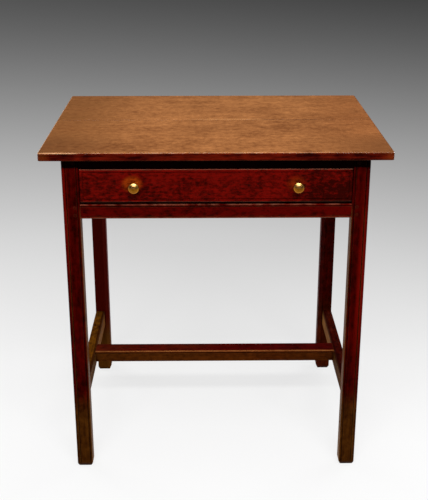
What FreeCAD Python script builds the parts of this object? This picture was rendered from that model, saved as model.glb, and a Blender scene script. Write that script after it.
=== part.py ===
# A country tavern table: a two-board top on four moulded legs, one drawer, an H stretcher.
# Millimetres, +Z up, the front faces -Y, the origin is on the floor under the middle of the top.
import FreeCAD, Part
import Sketcher
import math
import os
from FreeCAD import Placement, Rotation, Vector

SIZES = {
    # the top: two boards edge to edge, the joint running from end to end
    "top_width": 686.0,
    "top_depth": 508.0,
    "table_height": 717.0,
    "top_thickness": 16.5,
    "front_board_width": 261.5,
    "top_corner_round": 5.0,
    "top_edge_round": 3.0,
    "top_lower_round": 1.5,
    "joint_ease": 0.6,
    "side_overhang": 40.5,
    "front_overhang": 22.0,
    "dowel_diameter": 7.0,
    "dowel_length": 44.0,
    # the legs: square, a bead on each edge of both outward faces, the inmost corner chamfered
    "leg_size": 33.5,
    "leg_outer_bead": 4.2,
    "leg_inner_bead": 2.6,
    "quirk_floor": 0.9,
    "leg_chamfer": 8.0,
    "foot_wear": 4.0,
    # the rails and aprons
    "apron_height": 125.5,
    "apron_thickness": 20.0,
    "apron_setback": 1.0,
    "apron_bead": 2.4,
    "lower_rail_height": 30.0,
    "upper_rail_height": 22.0,
    "upper_rail_depth": 24.0,
    "rail_setback": 0.6,
    "rail_bead": 2.3,
    # mortises and tenons
    "rail_tenon_inset": 9.0,
    "rail_tenon_thickness": 9.0,
    "rail_tenon_shoulder": 3.0,
    "apron_tenon_inset": 4.5,
    "apron_tenon_thickness": 7.0,
    "apron_tenon_wall": 10.0,
    "apron_tenon_shoulder": 12.0,
    "tenon_spacing": 1.5,
    "joint_clearance": 0.15,
    "joint_end_clearance": 0.6,
    # pegs that pin the joints
    "peg_diameter": 6.4,
    "peg_wall": 10.0,
    "peg_proud": 0.5,
    "peg_inset": 10.0,
    "rail_peg_spacing": 16.0,
    "hole_clearance": 0.1,
    # the H stretcher
    "stretcher_top": 168.0,
    "stretcher_height": 37.0,
    "stretcher_thickness": 22.0,
    "stretcher_setback": 0.5,
    "stretcher_bead": 2.5,
    "stretcher_tenon_inset": 7.0,
    "stretcher_tenon_thickness": 9.0,
    "stretcher_tenon_wall": 10.0,
    "stretcher_tenon_shoulder": 6.0,
    "medial_depth": 38.0,
    "medial_height": 26.5,
    "medial_tenon_depth": 22.0,
    "medial_tenon_length": 15.0,
    "medial_tenon_shoulder": 8.0,
    # what carries and guides the drawer
    "runner_tongue": 16.0,
    "runner_height": 22.0,
    "runner_stub_length": 7.0,
    "runner_stub_shoulder": 4.0,
    "guide_height": 18.0,
    "kicker_tongue": 14.0,
    "stop_length": 40.0,
    "stop_width": 7.3,
    "stop_height": 7.0,
    "stop_inset": 98.0,
    "stop_gap": 0.3,
    # what holds the top down
    "screw_diameter": 4.5,
    "screw_bite": 9.0,
    "screw_head_diameter": 9.0,
    "screw_head_height": 3.2,
    "screw_recess": 0.8,
    "glue_block_length": 60.0,
    "glue_block_height": 24.0,
    "glue_block_lip": 6.0,
    "glue_block_gap": 4.0,
    # the drawer
    "drawer_side_gap": 1.0,
    "drawer_top_gap": 1.5,
    "drawer_rail_gap": 4.5,
    "drawer_setback": 1.0,
    "runner_gap": 0.3,
    "drawer_back_gap": 24.0,
    "drawer_front_thickness": 18.0,
    "drawer_front_round": 1.6,
    "drawer_bead_width": 5.4,
    "drawer_quirk_width": 1.6,
    "drawer_quirk_depth": 1.2,
    "drawer_side_thickness": 10.0,
    "drawer_side_drop": 0.5,
    "drawer_back_thickness": 10.0,
    "drawer_back_drop": 8.0,
    "drawer_bottom_thickness": 7.0,
    "drawer_bottom_rise": 9.5,
    "drawer_groove_depth": 4.0,
    "dovetail_lap": 6.0,
    "nail_diameter": 2.0,
    "nail_length": 24.0,
    "nail_head_diameter": 5.0,
    "nail_head_height": 1.0,
    # the knobs
    "knob_inset": 107.0,
    "knob_diameter": 21.5,
    "knob_projection": 21.5,
    "knob_face_diameter": 9.5,
    "knob_bevel_depth": 3.6,
    "knob_rim_width": 2.4,
    "knob_back_depth": 4.6,
    "knob_rim_round": 2.0,
    "knob_face_round": 6.0,
    "knob_neck_diameter": 8.4,
    "knob_rose_diameter": 13.0,
    "knob_rose_thickness": 1.8,
    "knob_shank_diameter": 5.0,
    "knob_shank_spare": 2.0,
    "nut_size": 11.0,
    "nut_thickness": 4.0,
    # cuts run this far past the face they start from
    "overrun": 5.0,
}

# A quirk meets its bead this far round from the crown.
QUIRK_TURN = math.radians(60)
QUIRK_REACH_SHARE = math.sin(QUIRK_TURN)
QUIRK_RISE_SHARE = math.cos(QUIRK_TURN)
# Where pegs, dowels, screws, nails, blocks and dovetails stand along what they hold.
APRON_PEG_SHARES = (0.32, 0.76)
BACK_PEG_SHARES = (0.20, 0.62)
DOWEL_SHARES = (-0.42, -0.15, 0.15, 0.42)
SCREW_SHARES = (-0.75, 0.75)
NAIL_SHARES = (-0.40, -0.14, 0.14, 0.40)
BLOCK_SHARES = (-0.30, 0.0, 0.30)
TAIL_SHARES = ((0.15, 0.41), (0.59, 0.85))
# A dovetail widens this much each way towards its tip, of the height of the board it joins.
FLARE_SHARE = 0.03
# The foot is worn away twice as high as wide, at this slope in degrees.
WEAR_SLOPE = math.degrees(math.atan(0.5))
TOUCH = 1e-4

UP, DOWN, EAST, WEST, NORTH, SOUTH = (0, 0, 1), (0, 0, -1), (1, 0, 0), (-1, 0, 0), (0, 1, 0), (0, -1, 0)
LEFT, RIGHT = -1, 1
FRONT, BACK = -1, 1


class Size:
    """A length with the sheet expression that gives it, so sums of lengths stay bound to the sheet."""

    def __init__(self, value, text):
        self.value = float(value)
        self.text = text

    def __float__(self):
        return self.value

    def __add__(self, other):
        other = size(other)
        if other.text == "0":
            return self
        if self.text == "0":
            return other
        return Size(self.value + other.value, f"({self.text} + {other.text})")

    def __sub__(self, other):
        other = size(other)
        if other.text == "0":
            return self
        return Size(self.value - other.value, f"({self.text} - {other.text})")

    def __mul__(self, other):
        if isinstance(other, Size):
            return Size(self.value * other.value, f"({self.text} * {other.text})")
        if other == 0:
            return Size(0, "0")
        if other == 1:
            return self
        return Size(self.value * other, f"({self.text} * {other!r})")

    def __truediv__(self, share):
        return Size(self.value / share, f"({self.text} / {share!r})")

    def __rsub__(self, other):
        return size(other) - self

    def __neg__(self):
        return Size(-self.value, f"(-{self.text})")

    __radd__ = __add__
    __rmul__ = __mul__


def size(number):
    return number if isinstance(number, Size) else Size(number, "0" if number == 0 else repr(float(number)))


class Sheet:
    """The spreadsheet of driving dimensions; an attribute is a Size bound to the cell of that name."""

    def __init__(self, document, sizes):
        self.cells = sizes
        sheet = document.addObject("Spreadsheet::Sheet", "Dims")
        for row, (alias, value) in enumerate(sizes.items(), start=1):
            sheet.set(f"A{row}", alias)
            sheet.set(f"B{row}", str(value))
            sheet.setAlias(f"B{row}", alias)
        document.recompute()

    def __getattr__(self, alias):
        return Size(self.cells[alias], f"Dims.{alias}")


doc = FreeCAD.newDocument("tavern_table")
dims = Sheet(doc, SIZES)
nodes = []


# Document helpers

def bind(thing, name, length):
    thing.setExpression(name, size(length).text)


def place(thing, x, y, z, rotation=Rotation()):
    thing.Placement = Placement(Vector(float(x), float(y), float(z)), rotation)
    for axis, length in zip("xyz", (x, y, z)):
        bind(thing, f"Placement.Base.{axis}", length)
    return thing


def node(thing, label):
    thing.Label = label
    nodes.append(thing)
    return thing


def new_body(label):
    return doc.addObject("PartDesign::Body", label)


def sketch_on(body, name, role, offset=0):
    """A sketch on one of the body's own planes, moved along +X, +Y or +Z by the offset."""
    sketch = body.newObject("Sketcher::SketchObject", name)
    plane = next(item for item in body.Origin.OriginFeatures if item.Role == role)
    sketch.AttachmentSupport = [(plane, "")]
    sketch.MapMode = "FlatFace"
    bind(sketch, "AttachmentOffset.Base.z", -size(offset) if role == "XZ_Plane" else offset)
    return sketch


def pin(sketch, piece, point, x, y):
    """Holds one point of a sketch at lengths from its origin."""
    for kind, axis, length in (("DistanceX", -2, size(x)), ("DistanceY", -1, size(y))):
        if length.value == 0:
            sketch.addConstraint(Sketcher.Constraint("PointOnObject", piece, point, axis))
            continue
        number = sketch.addConstraint(Sketcher.Constraint(kind, -1, 1, piece, point, length.value))
        bind(sketch, f"Constraints[{number}]", length)


def outline(sketch, corners):
    """A closed outline, counter-clockwise. A corner is (x, y), or (x, y, radius, centre x, centre y)
    where an arc about that centre leads to it."""
    spots = [Vector(float(corner[0]), float(corner[1]), 0) for corner in corners]
    pieces = []
    for number, corner in enumerate(corners):
        start, end = spots[number - 1], spots[number]
        if len(corner) == 2:
            pieces.append(sketch.addGeometry(Part.LineSegment(start, end), False))
            continue
        radius = corner[2]
        centre = Vector(float(corner[3]), float(corner[4]), 0)
        angles = [math.atan2(spot.y - centre.y, spot.x - centre.x) for spot in (start, end)]
        circle = Part.Circle(centre, Vector(*UP), float(radius))
        pieces.append(sketch.addGeometry(Part.ArcOfCircle(circle, *angles), False))
        number = sketch.addConstraint(Sketcher.Constraint("Radius", pieces[-1], float(radius)))
        bind(sketch, f"Constraints[{number}]", radius)
    for number, corner in enumerate(corners):
        following = pieces[(number + 1) % len(pieces)]
        sketch.addConstraint(Sketcher.Constraint("Coincident", pieces[number], 2, following, 1))
        pin(sketch, pieces[number], 2, corner[0], corner[1])
    return sketch


def rectangle(sketch, x0, y0, x1, y1):
    return outline(sketch, [(x0, y0), (x1, y0), (x1, y1), (x0, y1)])


def bead(x, y, came, goes, radius, quirk_before, quirk_after):
    """Outline corners of a bead on a square corner at (x, y) of a section: came and goes are the
    directions of the outline before and after it, and a quirk may be cut beside it on either face."""
    floor = dims.quirk_floor
    sink = radius * (1 - QUIRK_RISE_SHARE)
    centre = (x - came[0] * radius + goes[0] * radius, y - came[1] * radius + goes[1] * radius)

    def spot(along_came, along_goes):
        return tuple(centre[k] + along_came * came[k] + along_goes * goes[k] for k in (0, 1))

    reach, rise = radius * QUIRK_REACH_SHARE, radius * QUIRK_RISE_SHARE
    corners = []
    if quirk_before:
        corners += [spot(-reach - floor, -rise - sink), spot(-reach - floor, -rise), spot(-reach, -rise)]
    else:
        corners += [spot(0, -radius)]
    end = spot(rise, reach) if quirk_after else spot(radius, 0)
    corners.append((*end, radius, *centre))
    if quirk_after:
        corners += [spot(rise, reach + floor), spot(rise + sink, reach + floor)]
    return corners


def pad(body, name, sketch, length, reverse=False):
    feature = body.newObject("PartDesign::Pad", name)
    feature.Profile = sketch
    feature.Reversed = reverse
    bind(feature, "Length", length)
    doc.recompute()
    return feature


def pocket(body, name, sketch, depth, reverse=False):
    """A pocket that has to take something away."""
    before = body.Shape.Volume
    feature = body.newObject("PartDesign::Pocket", name)
    feature.Profile = sketch
    feature.Reversed = reverse
    bind(feature, "Length", depth)
    doc.recompute()
    if not body.Shape.Volume < before - TOUCH:
        raise RuntimeError(f"{body.Label}: {name} cuts nothing")
    return feature


def dress(body, kind, name, length, chosen):
    """A Fillet or Chamfer on the edges of the body's tip for which chosen says yes."""
    tip = body.Tip
    edges = [f"Edge{number}" for number, edge in enumerate(tip.Shape.Edges, start=1) if chosen(edge.BoundBox)]
    if not edges:
        raise RuntimeError(f"{body.Label}: {name} finds no edge")
    feature = body.newObject(f"PartDesign::{kind}", name)
    feature.Base = (tip, edges)
    bind(feature, "Radius" if kind == "Fillet" else "Size", length)
    doc.recompute()
    return feature


def near(value, length):
    return abs(value - float(length)) < TOUCH


def flat_at(box, axis, length):
    """Whether an edge lies in the plane that is square to an axis at a length."""
    return near(getattr(box, f"{axis}Min"), length) and near(getattr(box, f"{axis}Max"), length)


def block(label, length, width, height, x, y, z):
    box = doc.addObject("Part::Box", label)
    for name, extent in (("Length", length), ("Width", width), ("Height", height)):
        bind(box, name, extent)
    return place(box, x, y, z)


TURNS = {
    UP: Rotation(),
    DOWN: Rotation(Vector(*EAST), 180),
    EAST: Rotation(Vector(*NORTH), 90),
    WEST: Rotation(Vector(*NORTH), -90),
    NORTH: Rotation(Vector(*EAST), -90),
    SOUTH: Rotation(Vector(*EAST), 90),
}


def rod(label, diameter, length, x, y, z, way):
    """A round rod that starts at a point and runs one way."""
    cylinder = doc.addObject("Part::Cylinder", label)
    bind(cylinder, "Radius", diameter / 2)
    bind(cylinder, "Height", length)
    return place(cylinder, x, y, z, TURNS[way])


def fused(label, *pieces):
    fusion = doc.addObject("Part::MultiFuse", label)
    fusion.Shapes = list(pieces)
    return fusion


def group(label, pieces):
    compound = doc.addObject("Part::Compound", label)
    compound.Links = pieces
    return compound


def drilled(label, blank, drills):
    """The blank with holes drilled by a group of rods."""
    cut = doc.addObject("Part::Cut", label)
    cut.Base = blank
    cut.Tool = drills
    return node(cut, label)


def mirrored(label, source):
    mirror = doc.addObject("Part::Mirroring", label)
    mirror.Source = source
    mirror.Normal = Vector(*EAST)
    return node(mirror, label)


# Places that several pieces share

half_width = dims.top_width / 2 - dims.side_overhang
half_depth = dims.top_depth / 2 - dims.front_overhang
leg_inner_x = half_width - dims.leg_size
leg_inner_y = half_depth - dims.leg_size
underside = dims.table_height - dims.top_thickness
rail_tenon_wall = dims.apron_tenon_inset + dims.apron_tenon_thickness + dims.tenon_spacing
rail_tenon_length = dims.leg_size - rail_tenon_wall
apron_tenon_length = dims.leg_size - dims.apron_tenon_wall
stretcher_tenon_length = dims.leg_size - dims.stretcher_tenon_wall
rail_bottom = underside - dims.apron_height
rail_top = rail_bottom + dims.lower_rail_height
opening_top = underside - dims.upper_rail_height
apron_inner_x = half_width - dims.apron_setback - dims.apron_thickness
apron_inner_y = half_depth - dims.apron_setback - dims.apron_thickness
ledge = apron_inner_x - leg_inner_x
runner_width = ledge + dims.runner_tongue
kicker_width = ledge + dims.kicker_tongue
rail_front_y = -half_depth + dims.rail_setback
stretcher_bottom = dims.stretcher_top - dims.stretcher_height
stretcher_inner_x = half_width - dims.stretcher_setback - dims.stretcher_thickness
joint_y = -dims.top_depth / 2 + dims.front_board_width

drawer_half = leg_inner_x - dims.drawer_side_gap
drawer_face_y = -half_depth + dims.drawer_setback
drawer_inner_y = drawer_face_y + dims.drawer_front_thickness
drawer_end_y = apron_inner_y - dims.drawer_back_gap
stop_front_y = drawer_inner_y + dims.stop_gap
rail_back_y = stop_front_y + dims.stop_width
lower_rail_depth = rail_back_y - rail_front_y
drawer_front_bottom = rail_top + dims.drawer_rail_gap
drawer_front_height = opening_top - dims.drawer_top_gap - drawer_front_bottom
drawer_side_bottom = rail_top + dims.runner_gap
drawer_side_height = drawer_front_bottom + drawer_front_height - dims.drawer_side_drop - drawer_side_bottom
drawer_panel_bottom = drawer_side_bottom + dims.drawer_bottom_rise
drawer_back_bottom = drawer_panel_bottom + dims.drawer_bottom_thickness + dims.joint_clearance
drawer_back_height = drawer_side_bottom + drawer_side_height - dims.drawer_back_drop - drawer_back_bottom
drawer_inside = drawer_half - dims.drawer_side_thickness
knob_x = drawer_half - dims.knob_inset
knob_z = drawer_front_bottom + drawer_front_height / 2


# Pegs, dowels, screws and nails, and the drills for their holes

def peg_spots():
    """Where each peg starts, and which way it goes in, for each group of pegs."""
    rails, aprons, stretchers = [], [], []
    for side in (LEFT, RIGHT):
        inward = EAST if side == LEFT else WEST
        joint_x = (leg_inner_x + dims.peg_inset) * side
        face_x = (half_width + dims.peg_proud) * side
        front_y, back_y = -half_depth - dims.peg_proud, half_depth + dims.peg_proud
        middle = rail_bottom + dims.lower_rail_height / 2
        rails.append((joint_x, front_y, middle - dims.rail_peg_spacing / 2, NORTH))
        rails.append((joint_x, front_y, middle + dims.rail_peg_spacing / 2, NORTH))
        rails.append((joint_x, front_y, underside - dims.upper_rail_height / 2, NORTH))
        for share in BACK_PEG_SHARES:
            aprons.append((joint_x, back_y, rail_bottom + dims.apron_height * share, SOUTH))
        for end in (FRONT, BACK):
            joint_end_y = (leg_inner_y + dims.peg_inset) * end
            for share in APRON_PEG_SHARES:
                aprons.append((face_x, joint_end_y, rail_bottom + dims.apron_height * share, inward))
            stretchers.append((face_x, joint_end_y, stretcher_bottom + dims.stretcher_height / 2, inward))
    return {"rail_pegs": rails, "apron_pegs": aprons, "stretcher_pegs": stretchers}


def make_pegs():
    drills = []
    for label, spots in peg_spots().items():
        pegs = []
        for x, y, z, way in spots:
            length = dims.leg_size - dims.peg_wall + dims.peg_proud
            pegs.append(rod("peg", dims.peg_diameter, length, x, y, z, way))
            hole = dims.peg_diameter + 2 * dims.hole_clearance
            drills.append(rod("peg_drill", hole, length + dims.joint_end_clearance, x, y, z, way))
        node(group(label, pegs), label)
    return group("frame_drills", drills)


def dowel_group(label, slack, end_slack):
    diameter = dims.dowel_diameter + 2 * slack
    length = dims.dowel_length + 2 * end_slack
    y = joint_y - length / 2
    z = underside + dims.top_thickness / 2
    return [rod(label, diameter, length, dims.top_width * share, y, z, NORTH) for share in DOWEL_SHARES]


def screw_group(label, slack, end_slack):
    """Countersunk screws that go up through the kickers into the top."""
    screws = []
    for side in (LEFT, RIGHT):
        x = (apron_inner_x - kicker_width / 2) * side
        for share in SCREW_SHARES:
            y = leg_inner_y * share
            z = opening_top + dims.screw_recess
            head = doc.addObject("Part::Cone", label + "_head")
            bind(head, "Radius1", dims.screw_head_diameter / 2 + slack)
            bind(head, "Radius2", dims.screw_diameter / 2 + slack)
            bind(head, "Height", dims.screw_head_height)
            place(head, x, y, z)
            length = underside + dims.screw_bite + end_slack - z
            shank = rod(label + "_shank", dims.screw_diameter + 2 * slack, length, x, y, z, UP)
            pieces = [head, shank]
            if size(slack).value > 0:
                mouth = dims.screw_head_diameter + 2 * slack
                way_in = dims.screw_recess + dims.overrun
                pieces.append(rod(label + "_mouth", mouth, way_in, x, y, z, DOWN))
            screws.append(fused(label, *pieces))
    return screws


def nail_group(label, slack, end_slack):
    """Nails that go up through the drawer's bottom into its back."""
    nails = []
    diameter, length = dims.nail_diameter + 2 * slack, dims.nail_length + end_slack
    y, z = drawer_end_y - dims.drawer_back_thickness / 2, drawer_panel_bottom
    for share in NAIL_SHARES:
        x = drawer_half * 2 * share
        shank = rod(label + "_shank", diameter, length, x, y, z, UP)
        if size(slack).value > 0:
            nails.append(shank)
            continue
        head = rod(label + "_head", dims.nail_head_diameter, dims.nail_head_height, x, y, z, DOWN)
        nails.append(fused(label, shank, head))
    return nails


# The top

def make_top_board(label, drills, y, width, joint_at):
    """One board of the top; joint_at is the local y of its edge at the joint."""
    body = place(new_body(label + "_blank"), -dims.top_width / 2, y, underside)
    plan = rectangle(sketch_on(body, "plan", "XY_Plane"), 0, 0, dims.top_width, width)
    pad(body, "board", plan, dims.top_thickness)
    free_at = width - joint_at
    dress(body, "Fillet", "corners", dims.top_corner_round,
          lambda box: box.ZLength > TOUCH and flat_at(box, "Y", free_at))
    dress(body, "Fillet", "upper_edge", dims.top_edge_round,
          lambda box: flat_at(box, "Z", dims.top_thickness) and not flat_at(box, "Y", joint_at))
    dress(body, "Fillet", "lower_edge", dims.top_lower_round,
          lambda box: flat_at(box, "Z", 0) and not flat_at(box, "Y", joint_at))
    dress(body, "Chamfer", "joint_edge", dims.joint_ease,
          lambda box: flat_at(box, "Z", dims.top_thickness) and flat_at(box, "Y", joint_at))
    return drilled(label, body, drills)


def make_top():
    slack = dims.hole_clearance
    node(group("top_dowels", dowel_group("dowel", 0, 0)), "top_dowels")
    node(group("top_screws", screw_group("screw", 0, 0)), "top_screws")
    screw_drills = group("screw_drills", screw_group("screw_drill", slack, dims.joint_end_clearance))
    dowel_drills = dowel_group("dowel_drill", slack, dims.joint_end_clearance)
    top_drills = group("top_drills", dowel_drills + [screw_drills])
    back_width = dims.top_depth - dims.front_board_width
    make_top_board("top_board_front", top_drills, -dims.top_depth / 2, dims.front_board_width,
                   dims.front_board_width)
    make_top_board("top_board_back", top_drills, joint_y, back_width, size(0))
    return screw_drills


# The legs

def leg_section(sketch):
    """The section from the outer corner inwards: beads on both edges of both outward faces."""
    leg = dims.leg_size
    corners = bead(size(0), size(0), (0, -1), (1, 0), dims.leg_outer_bead, True, True)
    corners += bead(leg, size(0), (1, 0), (0, 1), dims.leg_inner_bead, True, False)
    corners += [(leg, leg - dims.leg_chamfer), (leg - dims.leg_chamfer, leg)]
    corners += bead(size(0), leg, (-1, 0), (0, -1), dims.leg_inner_bead, False, True)
    return outline(sketch, corners)


def wear_foot(body):
    """Wears away the foot's bottom edge all round."""
    ring = sketch_on(body, "foot_ring", "XY_Plane")
    for margin in (-dims.overrun, dims.foot_wear):
        rectangle(ring, margin, margin, dims.leg_size - margin, dims.leg_size - margin)
    pocket(body, "worn_foot", ring, 2 * dims.foot_wear, reverse=True).TaperAngle = WEAR_SLOPE


def make_leg(label, drills, y, turn, mortises):
    """A leg whose local x and y run inwards from its outer corner. Each mortise is cut from the face
    square to x or to y: (axis, inset, thickness, low, high, depth)."""
    body = place(new_body(label + "_blank"), -half_width, y, 0, turn)
    section = leg_section(sketch_on(body, "section", "XY_Plane"))
    pad(body, "stick", section, underside)
    wear_foot(body)
    slack = dims.joint_clearance
    for number, (axis, inset, thickness, low, high, depth) in enumerate(mortises, start=1):
        role = "YZ_Plane" if axis == "x" else "XZ_Plane"
        mouth = sketch_on(body, f"mouth_{number}", role, dims.leg_size)
        rectangle(mouth, inset - slack, low - slack, inset + thickness + slack, high + slack)
        pocket(body, f"mortise_{number}", mouth, depth + dims.joint_end_clearance, reverse=axis == "y")
    return drilled(label, body, drills)


def make_legs(drills):
    def rail_mortise(axis, low, high, shoulder):
        return (axis, dims.rail_tenon_inset, dims.rail_tenon_thickness, low + shoulder, high - shoulder,
                rail_tenon_length)

    def side_mortises(axis):
        apron = (axis, dims.apron_tenon_inset, dims.apron_tenon_thickness,
                 rail_bottom + dims.apron_tenon_shoulder, underside - dims.apron_tenon_shoulder,
                 apron_tenon_length)
        stretcher = (axis, dims.stretcher_tenon_inset, dims.stretcher_tenon_thickness,
                     stretcher_bottom + dims.stretcher_tenon_shoulder,
                     dims.stretcher_top - dims.stretcher_tenon_shoulder, stretcher_tenon_length)
        return [apron, stretcher]

    front = [
        rail_mortise("x", rail_bottom, rail_top, dims.rail_tenon_shoulder),
        rail_mortise("x", opening_top, underside, dims.rail_tenon_shoulder),
    ]
    back = [rail_mortise("y", rail_bottom, underside, dims.apron_tenon_shoulder)]
    front_leg = make_leg("leg_front_left", drills, -half_depth, Rotation(), front + side_mortises("y"))
    back_turn = Rotation(Vector(*UP), -90)
    back_leg = make_leg("leg_back_left", drills, half_depth, back_turn, back + side_mortises("x"))
    mirrored("leg_front_right", front_leg)
    mirrored("leg_back_right", back_leg)


# The rails and aprons

def make_cross_piece(label, y, z, section_corners, tenon):
    """A rail or apron between two legs, with a tenon at each end; tenon is (y, z, y, z) of its section."""
    body = place(new_body(label + "_blank"), -leg_inner_x, y, z)
    section = outline(sketch_on(body, "section", "YZ_Plane"), section_corners)
    pad(body, "rail", section, leg_inner_x * 2)
    tenons = rectangle(sketch_on(body, "tenon_section", "YZ_Plane", -rail_tenon_length), *tenon)
    pad(body, "tenons", tenons, (leg_inner_x + rail_tenon_length) * 2)
    return body


def make_front_rails(drills):
    inset = dims.rail_tenon_inset - dims.rail_setback
    shoulder = dims.rail_tenon_shoulder
    thickness = dims.rail_tenon_thickness

    depth, height = dims.upper_rail_depth, dims.upper_rail_height
    corners = [(size(0), size(0)), (depth, size(0)), (depth, height), (size(0), height)]
    tenon = (inset, shoulder, inset + thickness, height - shoulder)
    body = make_cross_piece("upper_front_rail", rail_front_y, opening_top, corners, tenon)
    drilled("upper_front_rail", body, drills)

    depth, height = lower_rail_depth, dims.lower_rail_height
    corners = bead(size(0), size(0), (0, -1), (1, 0), dims.rail_bead, True, False)
    corners += [(depth, size(0)), (depth, height)]
    corners += bead(size(0), height, (-1, 0), (0, -1), dims.rail_bead, False, True)
    tenon = (inset, shoulder, inset + thickness, height - shoulder)
    body = make_cross_piece("lower_front_rail", rail_front_y, rail_bottom, corners, tenon)
    slack = dims.joint_clearance
    near_edge = dims.runner_stub_shoulder - slack
    far_edge = dims.runner_tongue - dims.runner_stub_shoulder + slack
    low = height - dims.runner_height + dims.runner_stub_shoulder - slack
    high = height - dims.runner_stub_shoulder + slack
    mouths = sketch_on(body, "stub_mouths", "XZ_Plane", depth)
    rectangle(mouths, near_edge, low, far_edge, high)
    rectangle(mouths, leg_inner_x * 2 - far_edge, low, leg_inner_x * 2 - near_edge, high)
    pocket(body, "stub_mortises", mouths, dims.runner_stub_length + dims.joint_end_clearance, reverse=True)
    drilled("lower_front_rail", body, drills)


def make_aprons(drills):
    thickness, height, shoulder = dims.apron_thickness, dims.apron_height, dims.apron_tenon_shoulder

    corners = [(-thickness, height), (-thickness, size(0))]
    corners += bead(size(0), size(0), (1, 0), (0, 1), dims.apron_bead, False, True)
    corners += [(size(0), height)]
    tenon_y = dims.apron_setback - dims.rail_tenon_inset
    tenon = (tenon_y - dims.rail_tenon_thickness, shoulder, tenon_y, height - shoulder)
    body = make_cross_piece("back_apron", half_depth - dims.apron_setback, rail_bottom, corners, tenon)
    drilled("back_apron", body, drills)

    outer_x = dims.apron_setback - half_width
    body = place(new_body("side_apron_left_blank"), outer_x, -leg_inner_y, rail_bottom)
    corners = bead(size(0), size(0), (0, -1), (1, 0), dims.apron_bead, True, False)
    corners += [(thickness, size(0)), (thickness, height), (size(0), height)]
    section = outline(sketch_on(body, "section", "XZ_Plane"), corners)
    pad(body, "apron", section, leg_inner_y * 2, reverse=True)
    inset = dims.apron_tenon_inset - dims.apron_setback
    tenon = sketch_on(body, "tenon_section", "XZ_Plane", -apron_tenon_length)
    rectangle(tenon, inset, shoulder, inset + dims.apron_tenon_thickness, height - shoulder)
    pad(body, "tenons", tenon, (leg_inner_y + apron_tenon_length) * 2, reverse=True)
    mirrored("side_apron_right", drilled("side_apron_left", body, drills))


# The H stretcher

def make_stretchers(drills):
    thickness, height = dims.stretcher_thickness, dims.stretcher_height
    body = place(new_body("side_stretcher_left_blank"), dims.stretcher_setback - half_width, -leg_inner_y,
                 stretcher_bottom)
    corners = [(size(0), size(0)), (thickness, size(0))]
    corners += bead(thickness, height, (0, 1), (-1, 0), dims.stretcher_bead, True, False)
    corners += bead(size(0), height, (-1, 0), (0, -1), dims.stretcher_bead, False, True)
    section = outline(sketch_on(body, "section", "XZ_Plane"), corners)
    pad(body, "stretcher", section, leg_inner_y * 2, reverse=True)
    inset = dims.stretcher_tenon_inset - dims.stretcher_setback
    shoulder = dims.stretcher_tenon_shoulder
    tenon = sketch_on(body, "tenon_section", "XZ_Plane", -stretcher_tenon_length)
    rectangle(tenon, inset, shoulder, inset + dims.stretcher_tenon_thickness, height - shoulder)
    pad(body, "tenons", tenon, (leg_inner_y + stretcher_tenon_length) * 2, reverse=True)

    medial_low = height - dims.medial_height + dims.medial_tenon_shoulder
    medial_high = height - dims.medial_tenon_shoulder
    half_tenon = dims.medial_tenon_depth / 2
    slack = dims.joint_clearance
    mouth = sketch_on(body, "medial_mouth", "YZ_Plane", thickness)
    rectangle(mouth, leg_inner_y - half_tenon - slack, medial_low - slack, leg_inner_y + half_tenon + slack,
              medial_high + slack)
    pocket(body, "medial_mortise", mouth, dims.medial_tenon_length + dims.joint_end_clearance)
    mirrored("side_stretcher_right", drilled("side_stretcher_left", body, drills))

    half, height = dims.medial_depth / 2, dims.medial_height
    body = place(new_body("medial_stretcher"), -stretcher_inner_x, 0, dims.stretcher_top - height)
    corners = [(-half, size(0)), (half, size(0))]
    corners += bead(half, height, (0, 1), (-1, 0), dims.stretcher_bead, True, False)
    corners += bead(-half, height, (-1, 0), (0, -1), dims.stretcher_bead, False, True)
    section = outline(sketch_on(body, "section", "YZ_Plane"), corners)
    pad(body, "stretcher", section, stretcher_inner_x * 2)
    tenon = sketch_on(body, "tenon_section", "YZ_Plane", -dims.medial_tenon_length)
    shoulder = dims.medial_tenon_shoulder
    rectangle(tenon, -half_tenon, shoulder, half_tenon, height - shoulder)
    pad(body, "tenons", tenon, (stretcher_inner_x + dims.medial_tenon_length) * 2)
    node(body, "medial_stretcher")


# What carries and guides the drawer, and what holds the top down

def make_runners():
    width = runner_width
    body = place(new_body("runner_left"), -apron_inner_x, 0, rail_top - dims.runner_height)
    plan = outline(sketch_on(body, "plan", "XY_Plane"), [
        (size(0), -leg_inner_y), (ledge, -leg_inner_y), (ledge, rail_back_y), (width, rail_back_y),
        (width, apron_inner_y), (ledge, apron_inner_y), (ledge, leg_inner_y), (size(0), leg_inner_y),
    ])
    pad(body, "runner", plan, dims.runner_height)
    shoulder = dims.runner_stub_shoulder
    stub = sketch_on(body, "stub_section", "XZ_Plane", rail_back_y - dims.runner_stub_length)
    rectangle(stub, ledge + shoulder, shoulder, width - shoulder, dims.runner_height - shoulder)
    pad(body, "stub", stub, dims.runner_stub_length * 2, reverse=True)
    mirrored("runner_right", node(body, "runner_left"))

    guide = block("guide_left", ledge, leg_inner_y * 2, dims.guide_height,
                  -apron_inner_x, -leg_inner_y, rail_top)
    mirrored("guide_right", node(guide, "guide_left"))


def make_kickers(screw_drills):
    blank = block("kicker_blank", kicker_width, leg_inner_y * 2, dims.upper_rail_height, -apron_inner_x,
                  -leg_inner_y, opening_top)
    mirrored("kicker_right", drilled("kicker_left", blank, screw_drills))


def make_stops():
    starts = (dims.stop_inset - leg_inner_x, leg_inner_x - dims.stop_inset - dims.stop_length)
    stops = [
        block("stop", dims.stop_length, dims.stop_width, dims.stop_height, start, stop_front_y, rail_top)
        for start in starts
    ]
    node(group("drawer_stops", stops), "drawer_stops")


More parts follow.
